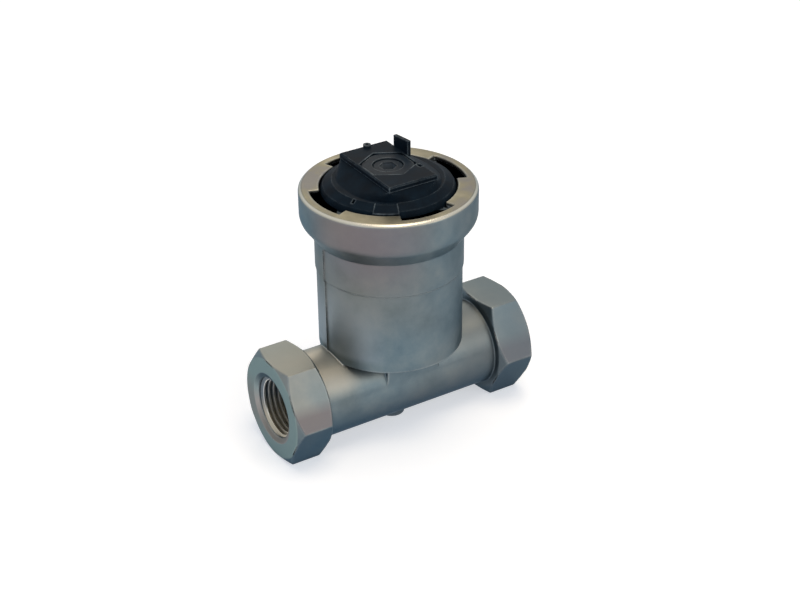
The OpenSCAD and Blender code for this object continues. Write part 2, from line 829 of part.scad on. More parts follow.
// Small vent notch beside the bush, a slot with a round end
module vent_notch() {
    slot_r = 0.7;
    slot_len = 1.6;
    depth = 0.8;
    translate([bush_af / 2, -plate_y / 5, plate_top - depth]) {
        cylinder(h = depth + cut, r = slot_r);
        translate([-slot_r, -slot_len, 0])
            cube([2 * slot_r, slot_len, depth + cut]);
    }
}

// Moulded bonnet: skirt with its ring groove, four lugs, drum, key plate and upright tab
module bonnet() {
    color(black)
        difference() {
            union() {
                rotate_extrude()
                    polygon([[0, skirt_z], [bonnet_r - 0.8, skirt_z], [bonnet_r, skirt_z + 1.6],
                             [bonnet_r, bonnet_ring_z - ring_groove_half],
                             [ring_groove_floor, bonnet_ring_z - ring_groove_half],
                             [ring_groove_floor, bonnet_ring_z + ring_groove_half],
                             [bonnet_r, bonnet_ring_z + ring_groove_half],
                             [bonnet_r, lug_z], [drum_r, lug_z],
                             [drum_r, lug_top], [drum_r - 0.3, collar_top - 0.4],
                             [drum_r - 0.9, collar_top + 0.6],
                             [drum_top_r + 0.5, drum_top - 0.4],
                             [drum_top_r, drum_top], [0, drum_top]]);
                for (k = [0 : 3])
                    rotate(90 * k)
                        translate([0, 0, lug_z])
                            slice(lug_r, lug_deg, lug_t);
                key_plate();
                upright_tab();
                guide_block();
                eyelet();
            }
            translate([0, 0, skirt_z - cut])
                cylinder(h = ceiling_z - skirt_z + cut, r = spring_room_r);
            translate([0, 0, ceiling_z - cut])
                hex_prism(bush_af + 0.4, plate_top - ceiling_z + 2 * cut);
            vent_notch();
            guide_groove();
        }
}

// O-ring in the skirt's groove
module bonnet_o_ring() {
    color(rubber)
        o_ring(ring_groove_floor, bonnet_bore_r, bonnet_ring_z);
}

body();
seat_cage();
cage_o_ring();
strainer();
stem_guide();
guide_circlip();
valve_stem();
valve_holder();
valve_seal();
return_spring();
diaphragm_washer();
diaphragm();
diaphragm_plate();
stem_nut();
slip_ring();
setting_spring();
spring_cup();
screw_bush();
adjusting_screw();
bonnet();
bonnet_o_ring();
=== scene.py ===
import math

import bmesh
import bpy
from mathutils import Matrix, Vector


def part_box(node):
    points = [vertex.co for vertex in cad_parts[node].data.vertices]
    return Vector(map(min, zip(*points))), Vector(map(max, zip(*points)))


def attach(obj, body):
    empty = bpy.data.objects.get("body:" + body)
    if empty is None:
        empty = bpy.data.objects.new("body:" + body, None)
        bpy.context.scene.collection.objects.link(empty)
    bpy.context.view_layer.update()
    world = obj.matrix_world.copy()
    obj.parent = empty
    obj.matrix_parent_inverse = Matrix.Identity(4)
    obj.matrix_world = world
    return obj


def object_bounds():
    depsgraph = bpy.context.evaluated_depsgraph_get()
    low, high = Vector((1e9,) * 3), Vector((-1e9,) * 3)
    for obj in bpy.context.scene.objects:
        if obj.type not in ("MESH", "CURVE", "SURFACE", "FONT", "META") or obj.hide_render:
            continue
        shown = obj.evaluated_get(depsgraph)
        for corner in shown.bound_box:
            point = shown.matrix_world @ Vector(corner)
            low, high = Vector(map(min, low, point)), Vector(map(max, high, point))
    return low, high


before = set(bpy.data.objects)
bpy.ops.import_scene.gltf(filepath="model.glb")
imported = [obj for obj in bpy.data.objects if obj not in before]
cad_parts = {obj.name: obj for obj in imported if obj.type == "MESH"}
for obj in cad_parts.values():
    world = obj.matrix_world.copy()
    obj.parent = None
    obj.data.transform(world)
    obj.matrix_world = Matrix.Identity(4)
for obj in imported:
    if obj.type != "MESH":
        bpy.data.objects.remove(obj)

cad_low, cad_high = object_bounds()

# The camera looks down on the inlet port from the left. Its place and lens are fitted to the
# outlines of the hexagons, the pipe, the chamber and the collar.


def mm(value):
    """Millimetres to metres."""
    return value / 1000


camera_turn = math.radians(-31.56)
camera_height = math.radians(30.39)
camera_roll = math.radians(-0.67)
camera_distance = mm(576.9)
frame_width_px = 800
focal_px = 1683.0
sensor_width_mm = 36
near_clip = mm(20)
far_clip = 20.0
aim_right = mm(-3.06)
aim_up = mm(-23.03)
pipe_axis_z = mm(17.5)

look = Vector((-math.sin(camera_turn) * math.cos(camera_height),
               math.cos(camera_turn) * math.cos(camera_height),
               -math.sin(camera_height)))
level_right = Vector((math.cos(camera_turn), math.sin(camera_turn), 0))
level_up = level_right.cross(look)
right = math.cos(camera_roll) * level_right + math.sin(camera_roll) * level_up
up = -math.sin(camera_roll) * level_right + math.cos(camera_roll) * level_up
crossing = Vector((0, 0, pipe_axis_z))
lens = bpy.data.cameras.new("camera")
lens.sensor_width = sensor_width_mm
lens.lens = focal_px / frame_width_px * lens.sensor_width
lens.clip_start = near_clip
lens.clip_end = far_clip
camera = bpy.data.objects.new("camera", lens)
bpy.context.collection.objects.link(camera)
turn = Matrix((right, up, -look)).transposed().to_4x4()
place = crossing - aim_right * right - aim_up * up - camera_distance * look
camera.matrix_world = Matrix.Translation(place) @ turn
bpy.context.scene.camera = camera
bpy.context.scene.view_settings.view_transform = "Standard"

# A white studio: a wide floor just under the two hexagon flats, and an even pale room.
# The camera and the metal's reflections see it white, and the floor keeps the shadow.


def linear(code):
    """An sRGB hex value as linear red, green, blue and alpha."""
    parts = [int(code[k:k + 2], 16) / 255 for k in (1, 3, 5)]
    return tuple(c / 12.92 if c <= 0.04045 else ((c + 0.055) / 1.055) ** 2.4 for c in parts) + (1,)


def add_node(tree, kind, inputs=None, **settings):
    """Adds a shader node, sets it up, and fills each input with a value or a link."""
    node = tree.nodes.new("ShaderNode" + kind)
    for name, value in settings.items():
        setattr(node, name, value)
    for socket, value in (inputs or {}).items():
        if isinstance(value, bpy.types.NodeSocket):
            tree.links.new(value, node.inputs[socket])
        else:
            node.inputs[socket].default_value = value
    return node


def bare_material(name):
    """A material with an empty node tree, and that tree."""
    material = bpy.data.materials.new(name)
    material.use_nodes = True
    material.node_tree.nodes.clear()
    return material, material.node_tree


def seen_directly(tree):
    """1 for camera, glossy and transmission rays, and 0 for the light that the room sheds."""
    path = add_node(tree, "LightPath")
    glossy = add_node(tree, "Math", {0: path.outputs["Is Camera Ray"],
                                     1: path.outputs["Is Glossy Ray"]}, operation="MAXIMUM")
    both = add_node(tree, "Math", {0: glossy.outputs[0], 1: path.outputs["Is Transmission Ray"]},
                    operation="MAXIMUM")
    return both.outputs[0]


floor_half = 3.0
floor_gap = mm(0.05)
glow_near_r = 0.2
glow_far_r = 1.2
glow_near = 0.55
glow_far = 0.82
room_light = 0.36

floor_mesh = bpy.data.meshes.new("floor")
shape = bmesh.new()
bmesh.ops.create_grid(shape, x_segments=1, y_segments=1, size=floor_half)
bmesh.ops.translate(shape, vec=(0, 0, cad_low.z - floor_gap), verts=shape.verts)
shape.to_mesh(floor_mesh)
shape.free()
floor = bpy.data.objects.new("floor", floor_mesh)
bpy.context.collection.objects.link(floor)
floor_white, tree = bare_material("floor_white")
matt = add_node(tree, "BsdfDiffuse", {"Color": linear("#D6DADF")})
away = add_node(tree, "VectorMath", {0: add_node(tree, "TexCoord").outputs["Object"]},
                operation="LENGTH").outputs["Value"]
strength = add_node(tree, "MapRange", {0: away, 1: glow_near_r, 2: glow_far_r,
                                       3: glow_near, 4: glow_far}).outputs[0]
glow = add_node(tree, "Emission", {"Color": linear("#F9FBFF"), "Strength": strength})
dark = add_node(tree, "Emission", {"Color": linear("#FFFFFF"), "Strength": 0.0})
lift = add_node(tree, "MixShader", {0: seen_directly(tree), 1: dark.outputs[0], 2: glow.outputs[0]})
both = add_node(tree, "AddShader", {0: matt.outputs[0], 1: lift.outputs[0]})
add_node(tree, "OutputMaterial", {"Surface": both.outputs[0]})
floor_mesh.materials.append(floor_white)

room = bpy.data.worlds.new("room")
room.use_nodes = True
tree = room.node_tree
tree.nodes.clear()
white = add_node(tree, "Background", {"Color": linear("#FFFFFF"), "Strength": 1.0})
shed = add_node(tree, "Background", {"Color": linear("#E4ECF6"), "Strength": room_light})
either = add_node(tree, "MixShader", {0: seen_directly(tree), 1: shed.outputs[0],
                                      2: white.outputs[0]})
add_node(tree, "OutputWorld", {"Surface": either.outputs[0]})
bpy.context.scene.world = room

# Four soft lamps: a wide warm one overhead, and weak ones from the left, the front and behind.
# All of them point at the chamber.

lamp_aim = Vector((0, 0, mm(45)))


def soft_lamp(name, place, size, watts, colour):
    """A square area lamp that points at the middle of the object."""
    lamp = bpy.data.lights.new(name, "AREA")
    lamp.shape = "SQUARE"
    lamp.size = size
    lamp.energy = watts
    lamp.color = linear(colour)[:3]
    holder = bpy.data.objects.new(name, lamp)
    bpy.context.collection.objects.link(holder)
    holder.location = place
    holder.rotation_euler = (lamp_aim - Vector(place)).to_track_quat("-Z", "Y").to_euler()


soft_lamp("overhead_lamp", (0.05, -0.12, 0.95), 0.6, 5.0, "#FFE9CC")
soft_lamp("left_lamp", (-0.9, -0.35, 0.5), 0.5, 0.8, "#DCECFF")
soft_lamp("front_lamp", (0.42, -0.8, 0.42), 0.5, 1.8, "#FFEFDD")
soft_lamp("back_lamp", (0.5, 0.85, 0.62), 0.5, 1.4, "#FFE9CC")

# The body is one forged and turned brass tee under satin nickel plate. The forged skin is
# matt and a little stained, the turned collar shows fine rings, and its rim is polished.
# Its patches of tone stay at fixed places of the part; many of them are painted light and
# shade, and the rim and the edges carry painted highlights.

forged_grain = mm(0.45)
stain_size = mm(9)
cast_size = mm(30)
turning_feed = mm(0.5)
collar_top_z = mm(87.6)
turned_depth = mm(1.0)
rim_inner_r = mm(28.1)
bore_edge_r = mm(10.6)
sink_mouth_r = mm(12.4)
sink_half_angle = math.radians(65)
sink_depth = mm(1.0)
sink_overrun = mm(0.4)
cone_segments = 96
port_face_x = cad_high.x
hexagon_inner_x = mm(33)
chamber_end_x = mm(24)
grip_top_z = mm(22)
warm_collar_z = mm(72)
inlet_side = (-1, 0, 0)
lit_collar_side = (-0.72, -0.69, 0)
outlet_shade_strength = 0.6
rim_roughness = 0.26
edge_wear = mm(0.9)
weld_reach = mm(0.002)
flat_angle = math.radians(1)
sharp_angle = math.radians(25)


def object_coordinates(tree):
    """The piece's own coordinates in metres, the same in every view."""
    return add_node(tree, "TexCoord").outputs["Object"]


def noise(tree, size, detail=3.0, roughness=0.55):
    """Noise whose lumps are about the given size across."""
    return add_node(tree, "TexNoise", {"Vector": object_coordinates(tree), "Scale": 1 / size,
                                       "Detail": detail, "Roughness": roughness})


def between(tree, factor, low, high):
    """A factor from 0 to 1 as a value between two limits."""
    return add_node(tree, "MapRange", {0: factor, 3: low, 4: high}).outputs[0]


def tones(tree, factor, stops):
    """A colour ramp from pairs of place and sRGB hex value."""
    ramp = add_node(tree, "ValToRGB", {0: factor})
    elements = ramp.color_ramp.elements
    while len(elements) < len(stops):
        elements.new(0.5)
    for element, (position, code) in zip(elements, stops):
        element.position = position
        element.color = linear(code)
    return ramp.outputs["Color"]


def mixed(tree, factor, first, second):
    """Two colours mixed by a factor."""
    blend = add_node(tree, "Mix", {0: factor, 6: first, 7: second}, data_type="RGBA")
    return blend.outputs[2]


def product(tree, first, second):
    """Two factors multiplied."""
    return add_node(tree, "Math", {0: first, 1: second}, operation="MULTIPLY").outputs[0]


def open_to_room(tree, reach):
    """1 on open faces, falling towards 0 in corners, grooves and bores."""
    return add_node(tree, "AmbientOcclusion", {"Distance": reach}, samples=6).outputs["AO"]


def worn_and_glinting_edges(tree, radius):
    """1 on outer edges, worn where they rub against other things and lit with a painted highlight,
    and 0 on the faces and in the corners.
    """
    thick = add_node(tree, "AmbientOcclusion", {"Distance": radius}, samples=6, inside=True,
                     only_local=True).outputs["AO"]
    edge = add_node(tree, "MapRange", {0: thick, 1: 0.92, 2: 0.7}).outputs[0]
    rubbed = add_node(tree, "MapRange", {0: noise(tree, mm(6), 5, 0.7).outputs[0], 1: 0.4, 2: 0.6,
                                         3: 0.15, 4: 1.0}).outputs[0]
    return product(tree, edge, rubbed)


def ramped(tree, value, low, high):
    """0 below the low value, 1 above the high one, and a straight rise between them."""
    return add_node(tree, "MapRange", {0: value, 1: low, 2: high}).outputs[0]


def band(tree, value, start, full, last, end):
    """1 between the full and last values, falling to 0 at the start and the end."""
    return product(tree, ramped(tree, value, start, full), ramped(tree, value, end, last))


def tinted(tree, skin, mask, share, code):
    """A skin with a tone laid over it where the mask is 1, as strongly as the share says."""
    return mixed(tree, product(tree, mask, share), skin, linear(code))


def turned_towards(tree, direction, low, high):
    """1 on faces that point along a direction of the part, and 0 on those turned away."""
    normal = add_node(tree, "NewGeometry").outputs["Normal"]
    along = add_node(tree, "VectorMath", {0: normal, 1: direction}, operation="DOT_PRODUCT")
    return ramped(tree, along.outputs["Value"], low, high)


def pipe_radius(tree, place):
    """The distance from the pipe's axis."""
    height = add_node(tree, "Math", {0: place.outputs["Z"], 1: pipe_axis_z}, operation="SUBTRACT")
    across = add_node(tree, "CombineXYZ", {1: place.outputs["Y"], 2: height.outputs[0]})
    return add_node(tree, "VectorMath", {0: across.outputs[0]}, operation="LENGTH").outputs["Value"]


def valve_radius(tree, place):
    """The distance from the valve's axis."""
    across = add_node(tree, "CombineXYZ", {0: place.outputs["X"], 1: place.outputs["Y"]})
    return add_node(tree, "VectorMath", {0: across.outputs[0]}, operation="LENGTH").outputs["Value"]


def pipe_reach(tree, place):
    """The distance along the pipe from the valve's axis, towards either port."""
    return add_node(tree, "Math", {0: place.outputs["X"]}, operation="ABSOLUTE").outputs[0]


def tapped_bore(tree, place):
    """1 inside the two port bores, which are cut after plating and stay bright."""
    return ramped(tree, pipe_radius(tree, place), bore_edge_r, bore_edge_r - mm(0.1))


def sink_level(tree, place):
    """1 from the port faces down to the foot of the cones sunk into them."""
    foot_x = port_face_x - sink_depth
    return ramped(tree, pipe_reach(tree, place), foot_x - mm(0.1), foot_x)


def port_faces(tree, place):
    """1 on the two turned end faces of the hexagons and on the cones sunk into them."""
    face = ramped(tree, pipe_reach(tree, place), port_face_x - mm(0.3), port_face_x - mm(0.15))
    mouth = product(tree, sink_level(tree, place),
                    ramped(tree, pipe_radius(tree, place), sink_mouth_r + mm(0.3), sink_mouth_r))
    return add_node(tree, "Math", {0: face, 1: mouth}, operation="MAXIMUM").outputs[0]


def sunk_cones(tree, place):
    """1 on the cones sunk into the two port mouths."""
    radius = band(tree, pipe_radius(tree, place), bore_edge_r - mm(0.1), bore_edge_r,
                  sink_mouth_r - mm(0.05), sink_mouth_r + mm(0.05))
    return product(tree, radius, sink_level(tree, place))


def painted_bore_reflection(tree, place):
    """1 along the bottom of the ports, where a warm brown reflection is painted."""
    return ramped(tree, place.outputs["Z"], pipe_axis_z - mm(1), pipe_axis_z - mm(7))


def collar_rim(tree, place):
    """1 outside the radius where the collar's top edge is chamfered, and 0 within it."""
    return ramped(tree, valve_radius(tree, place), rim_inner_r, rim_inner_r + mm(0.3))


def forged_skin(tree, place, facing, stains):
    """The forging: cool grey with warmer clouds, paler on top and darker underneath."""
    cast = noise(tree, cast_size, 1, 0.4).outputs[0]
    cool = tones(tree, stains, [(0.3, "#566974"), (0.5, "#62757F"), (0.7, "#6F7F86")])
    warm = tones(tree, stains, [(0.3, "#70746F"), (0.5, "#787A77"), (0.7, "#807F7A")])
    skin = mixed(tree, between(tree, cast, -0.6, 1.5), cool, warm)
    # Painted light: faces turned upwards are paler and warmer.
    skin = tinted(tree, skin, ramped(tree, facing.outputs["Z"], 0.4, 0.95), 0.55, "#8C8A80")
    # Painted shade: faces turned down low on the part, and the lowest parts, are darker and bluer.
    underside = product(tree, ramped(tree, facing.outputs["Z"], 0.15, -0.55),
                        ramped(tree, place.outputs["Z"], mm(34), mm(20)))
    lowest = ramped(tree, place.outputs["Z"], mm(5), mm(0))
    shaded = add_node(tree, "Math", {0: underside, 1: lowest}, operation="MAXIMUM").outputs[0]
    return tinted(tree, skin, shaded, 0.65, "#354A5C")


def marked_places(tree, place, facing, skin):
    """Four places where the photo shows the forging paler, darker or warmer than the rest."""
    height = place.outputs["Z"]
    reach = pipe_reach(tree, place)
    # Painted shade on the hexagons' slanted lower flats, low down.
    slanted = product(tree, ramped(tree, reach, hexagon_inner_x - mm(0.2), hexagon_inner_x),
                      band(tree, facing.outputs["Z"], 0.3, 0.42, 0.58, 0.7))
    shaded_lower_flats = product(tree, slanted, ramped(tree, height, grip_top_z + mm(4), grip_top_z))
    skin = tinted(tree, skin, shaded_lower_flats, 0.7, "#5E575B")
    # Painted highlight on the top of the pipe beside the inlet hexagon.
    beside_inlet = band(tree, place.outputs["X"], -hexagon_inner_x, -hexagon_inner_x + mm(1),
                        -chamber_end_x - mm(1), -chamber_end_x + mm(5))
    painted_pipe_highlight = product(tree, beside_inlet, ramped(tree, facing.outputs["Z"], 0.3, 0.85))
    skin = tinted(tree, skin, painted_pipe_highlight, 0.5, "#B9B3A6")
    # Painted light on the side of the collar turned towards the front left.
    painted_collar_light = product(tree, turned_towards(tree, lit_collar_side, 0.7, 1.0),
                          ramped(tree, height, warm_collar_z - mm(14), warm_collar_z))
    skin = tinted(tree, skin, painted_collar_light, 0.6, "#77696C")
    # Painted light on the chamber's side turned towards the inlet, just above the pipe.
    painted_light_above_inlet = product(tree, turned_towards(tree, inlet_side, 0.55, 1.0),
                          band(tree, height, mm(33), mm(35), mm(44), mm(60)))
    painted_light_above_inlet = product(tree, painted_light_above_inlet, ramped(tree, reach, mm(30), mm(26)))
    return tinted(tree, skin, painted_light_above_inlet, 0.5, "#A6B0B8")


def turned_ends(tree, place, skin):
    """The hexagons' turned end faces, browner low down on one side."""
    faces = port_faces(tree, place)
    skin = mixed(tree, faces, skin, linear("#77898A"))
    low = product(tree, band(tree, place.outputs["Z"], mm(3), mm(9), mm(16), mm(25)),
                  ramped(tree, place.outputs["Y"], mm(-4), mm(6)))
    return tinted(tree, skin, product(tree, faces, low), 0.6, "#807A76")


def outlet_painted_shade(tree, place):
    """A ragged painted shade that grows towards the outlet."""
    drift = between(tree, noise(tree, mm(14), 3, 0.6).outputs[0], mm(-14), mm(14))
    along = add_node(tree, "Math", {0: place.outputs["X"], 1: drift}, operation="ADD").outputs[0]
    return product(tree, ramped(tree, along, mm(-5), mm(42)), outlet_shade_strength)


def collar_top(tree, tarnish_and_shade):
    """The turned top of the collar, warmer than the forging."""
    top = tones(tree, noise(tree, mm(12), 4, 0.6).outputs[0],
                [(0.35, "#74726F"), (0.5, "#7D7968"), (0.65, "#8C8775")])
    # Painted shade darkens the turned top towards the outlet as well.
    return tinted(tree, top, tarnish_and_shade, 0.6, "#55524F")


def cut_ports(tree, place, facing, skin):
    """The sunk cones and the tapped bores: bright metal, with painted light and shade on the cones,
    a painted warm reflection along the floor and painted shade in the first turn.
    """
    # Painted light and shade on the sunk cones: dark where they face down, pale on their sides.
    upright = ramped(tree, facing.outputs["Z"], -0.42, 0.42)
    cone_light_and_shade = tones(tree, upright, [(0.1, "#46525A"), (0.4, "#829092"), (0.65, "#928F8E"),
                                      (1.0, "#6E6C68")])
    skin = mixed(tree, sunk_cones(tree, place), skin, cone_light_and_shade)
    # Painted reflection: the bores' floor is tinted warm brown.
    bore_light_and_shade = mixed(tree, painted_bore_reflection(tree, place), linear("#CDD3D6"), linear("#B3A994"))
    # Painted shade on the first turn of the bore inside the mouth.
    first_turn_shade = ramped(tree, pipe_reach(tree, place), port_face_x - mm(2.6),
                        port_face_x - mm(1.8))
    bore_light_and_shade = tinted(tree, bore_light_and_shade, first_turn_shade, 0.9, "#5A646C")
    return mixed(tree, tapped_bore(tree, place), skin, bore_light_and_shade)


def corner_shade(tree, place):
    """Painted shade in corners and grooves, which the port mouths are kept clear of."""
    corners = add_node(tree, "MapRange", {0: open_to_room(tree, mm(4)), 1: 0.35, 2: 0.85,
                                          3: 0.35, 4: 0.0}).outputs[0]
    port = ramped(tree, pipe_radius(tree, place), sink_mouth_r + mm(0.4), sink_mouth_r)
    return add_node(tree, "Math", {0: corners, 1: port}, operation="SUBTRACT",
                    use_clamp=True).outputs[0]


def nickel_plate(name):
    """Satin nickel on brass: cool grey, warmer where it is turned, bright where it is rubbed, with
    painted highlights, light and shade.
    """
    material, tree = bare_material(name)
    stains = noise(tree, stain_size, 5, 0.6).outputs[0]
    place = add_node(tree, "SeparateXYZ", {0: object_coordinates(tree)})
    facing = add_node(tree, "SeparateXYZ", {0: add_node(tree, "NewGeometry").outputs["Normal"]})
    skin = forged_skin(tree, place, facing, stains)
    skin = marked_places(tree, place, facing, skin)
    skin = turned_ends(tree, place, skin)
    # Painted shade: the forging darkens towards the outlet.
    tarnish_and_shade = outlet_painted_shade(tree, place)
    skin = mixed(tree, tarnish_and_shade, skin, linear("#43525E"))
    turned = ramped(tree, place.outputs["Z"], collar_top_z - turned_depth,
                    collar_top_z - turned_depth / 2)
    skin = mixed(tree, turned, skin, collar_top(tree, tarnish_and_shade))
    # Painted highlight: the polished rim chamfer is painted pale as well as made smoother.
    rim = product(tree, turned, collar_rim(tree, place))
    skin = mixed(tree, rim, skin, linear("#BDBAAE"))
    skin = cut_ports(tree, place, facing, skin)
    # Painted shade darkens the corners and grooves.
    skin = mixed(tree, corner_shade(tree, place), skin, linear("#3E484E"))
    # Edges are worn paler, with a painted highlight along them.
    wear_and_glint = product(tree, worn_and_glinting_edges(tree, edge_wear), 0.6)
    colour = mixed(tree, wear_and_glint, skin, linear("#9BA0A0"))
    satin = between(tree, stains, 0.4, 0.5)
    bright = add_node(tree, "Math", {0: wear_and_glint, 1: rim}, operation="MAXIMUM").outputs[0]
    roughness = add_node(tree, "Mix", {0: bright, 2: satin, 3: rim_roughness}).outputs[0]
    soft_edges = add_node(tree, "Bevel", {"Radius": mm(0.45)}, samples=6).outputs[0]
    grain = noise(tree, forged_grain, 4, 0.6).outputs[0]
    bump = add_node(tree, "Bump", {"Height": grain, "Strength": 0.35, "Distance": mm(0.06),
                                   "Normal": soft_edges})
    rings = add_node(tree, "TexWave", {"Vector": object_coordinates(tree),
                                       "Scale": math.pi / (10 * turning_feed),
                                       "Distortion": 0.2, "Detail": 1.0},
                     wave_type="RINGS", rings_direction="Z")
    cut_marks = product(tree, rings.outputs["Fac"], turned)
    bump = add_node(tree, "Bump", {"Height": cut_marks, "Strength": 0.4, "Distance": mm(0.03),
                                   "Normal": bump.outputs[0]})
    plate = add_node(tree, "BsdfPrincipled", {"Base Color": colour, "Metallic": 1.0,
                                              "Specular Tint": linear("#B7C3CC"),
                                              "Roughness": roughness, "Normal": bump.outputs[0]})
    add_node(tree, "OutputMaterial", {"Surface": plate.outputs[0]})
    return material


def mouth_cones():
    """Two cones that cut the wide countersinks at the port mouths, hidden themselves."""
    shape = bmesh.new()
    inner_r = sink_mouth_r - sink_depth * math.tan(sink_half_angle)
    outer_r = sink_mouth_r + sink_overrun * math.tan(sink_half_angle)
    height = sink_depth + sink_overrun
    for side in (-1, 1):
        middle = side * (port_face_x - sink_depth + height / 2)
        along = Matrix.Rotation(side * math.pi / 2, 4, "Y")
        bmesh.ops.create_cone(shape, cap_ends=True, segments=cone_segments, radius1=inner_r,
                              radius2=outer_r, depth=height,
                              matrix=Matrix.Translation((middle, 0, pipe_axis_z)) @ along)
    mesh = bpy.data.meshes.new("mouth_cones")
    shape.to_mesh(mesh)
    shape.free()
    cones = bpy.data.objects.new("mouth_cones", mesh)
    bpy.context.collection.objects.link(cones)
    cones.hide_render = True
    cones.hide_viewport = True
    return cones


def ease_edges(node, radius, clamp, cutter):
    """Rounds a CAD node's sharp edges with live modifiers; its own mesh is left alone."""
    # Known fault: without clamp, the many-cornered undersides of the collar's tabs split into
    # stray triangles that close the notches.
    for polygon in node.data.polygons:
        polygon.use_smooth = True
    weld = node.modifiers.new("weld", "WELD")
    weld.merge_threshold = weld_reach
    if cutter:
        sink = node.modifiers.new("sink", "BOOLEAN")
        sink.operation = "DIFFERENCE"
        sink.solver = "EXACT"
        sink.object = cutter
    flats = node.modifiers.new("flats", "DECIMATE")
    flats.decimate_type = "DISSOLVE"
    flats.angle_limit = flat_angle
    bevel = node.modifiers.new("bevel", "BEVEL")
    bevel.width = radius
    bevel.use_clamp_overlap = clamp
    bevel.segments = 2
    bevel.limit_method = "ANGLE"
    bevel.angle_limit = sharp_angle
    normals = node.modifiers.new("normals", "WEIGHTED_NORMAL")
    normals.keep_sharp = False


def finish_node(name, material, radius=0.0, clamp=True, cutter=None):
    """Gives a CAD node its material and, where a radius is given, eased edges."""
    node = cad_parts[name]
    node.data.materials.clear()
    node.data.materials.append(material)
    if radius:
        ease_edges(node, radius, clamp, cutter)
    return node


plated = nickel_plate("satin_nickel_plate")
finish_node("body", plated, mm(0.35), clamp=False, cutter=mouth_cones())

# The port threads are G 1/2 pipe threads, tapped 14 mm deep into both hexagon ends.
# Each is one ridge of 1.814 mm pitch, set back behind the sunk cone and faded at both ends.

thread_pitch = mm(25.4 / 14)
thread_root_r = mm(10.478)
thread_crest_r = mm(9.316)
thread_turns = 6.5
steps_per_turn = 48
mouth_inset = mm(1.45)
thread_embed = mm(0.12)
thread_start = math.radians(90)
foot_half = thread_pitch * 0.46
crest_half = thread_pitch * 0.09
fade_length = thread_pitch * 0.25


def cut_metal(name):
    """Cut thread flanks: bright on the crests, with painted shade towards the roots and a painted
    warm reflection along the bores' floor.
    """
    material, tree = bare_material(name)
    oil = noise(tree, mm(2), 4, 0.6).outputs[0]
    cut = tones(tree, oil, [(0.35, "#C9CDD0"), (0.65, "#DCDCD8")])
    place = add_node(tree, "SeparateXYZ", {0: object_coordinates(tree)})
    # Painted shade: the flanks darken towards the thread's roots.
    sunk = ramped(tree, pipe_radius(tree, place), thread_crest_r + mm(0.05),
                  thread_crest_r + mm(0.3))
    colour = mixed(tree, sunk, cut, linear("#667078"))
    # Painted warm reflection along the bores' floor.
    colour = tinted(tree, colour, painted_bore_reflection(tree, place), 0.7, "#B3AA96")
    roughness = between(tree, oil, 0.4, 0.52)
    tears = noise(tree, mm(0.2), 3).outputs[0]
    bump = add_node(tree, "Bump", {"Height": tears, "Strength": 0.2, "Distance": mm(0.03)})
    flank = add_node(tree, "BsdfPrincipled", {"Base Color": colour, "Metallic": 1.0,
                                              "Roughness": roughness, "Normal": bump.outputs[0]})
    add_node(tree, "OutputMaterial", {"Surface": flank.outputs[0]})
    return material


def thread_ridge(name, side):
    """A closed helical ridge inside one port; side is -1 for the inlet and 1 for the outlet."""
    shape = bmesh.new()
    foot_r = thread_root_r + thread_embed
    profile = [(-foot_half, foot_r), (-crest_half, thread_crest_r),
               (crest_half, thread_crest_r), (foot_half, foot_r)]
    across = -math.sin(thread_start)
    upward = math.cos(thread_start)
    ring = [shape.verts.new((x, r * across, r * upward)) for x, r in profile]
    section = shape.faces.new(ring)
    bmesh.ops.spin(shape, geom=[section], cent=(0, 0, 0), axis=(1, 0, 0),
                   dvec=(thread_pitch / steps_per_turn, 0, 0),
                   angle=thread_turns * math.tau, steps=round(thread_turns * steps_per_turn),
                   use_duplicate=False)
    bmesh.ops.recalc_face_normals(shape, faces=shape.faces)
    length = thread_turns * thread_pitch
    start = side * (port_face_x - mouth_inset) - (0 if side < 0 else length)
    for vertex in shape.verts:
        radius = math.hypot(vertex.co.y, vertex.co.z)
        rest = min(vertex.co.x - crest_half, length - crest_half - vertex.co.x)
        share = min(1, max(0, rest / fade_length))
        depth = port_face_x - abs(vertex.co.x + start)
        mouth_cone = sink_mouth_r - depth * math.tan(sink_half_angle)
        wanted = foot_r - (foot_r - radius) * share
        if wanted < mouth_cone:
            wanted = mouth_cone + thread_embed * (mouth_cone > thread_root_r)
        vertex.co.y *= wanted / radius
        vertex.co.z *= wanted / radius
    bmesh.ops.translate(shape, vec=(start, 0, pipe_axis_z), verts=shape.verts)
    mesh = bpy.data.meshes.new(name)
    shape.to_mesh(mesh)
    shape.free()
    for polygon in mesh.polygons:
        polygon.use_smooth = False
    ridge = bpy.data.objects.new(name, mesh)
    bpy.context.collection.objects.link(ridge)
    mesh.materials.append(thread_metal)
    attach(ridge, "housing")


thread_metal = cut_metal("cut_thread")
thread_ridge("inlet_thread", -1)
thread_ridge("outlet_thread", 1)

# The valve cage and the stem guide are moulded in white acetal, matt and slightly waxy.
# They are pushed into the body from above.


def acetal(name):
    """Natural acetal: milky, with a soft sheen and a faintly uneven skin."""
    material, tree = bare_material(name)
    cloud = noise(tree, mm(4), 2).outputs[0]
    colour = tones(tree, cloud, [(0.35, "#D9D6CA"), (0.65, "#E4E2D8")])
    skin = noise(tree, mm(0.6), 2).outputs[0]
    bump = add_node(tree, "Bump", {"Height": skin, "Strength": 0.15, "Distance": mm(0.03)})
    resin = add_node(tree, "BsdfPrincipled", {"Base Color": colour, "Roughness": 0.42, "IOR": 1.48,
                                              "Subsurface Weight": 0.1,
                                              "Subsurface Scale": mm(0.6),
                                              "Normal": bump.outputs[0]})
    add_node(tree, "OutputMaterial", {"Surface": resin.outputs[0]})
    return material


white_acetal = acetal("white_acetal")
finish_node("seat_cage", white_acetal, mm(0.15))
finish_node("stem_guide", white_acetal, mm(0.12))

# The seals are moulded nitrile rubber: three rings and the fabric-backed diaphragm.
# They are matt black with a faint bloom.


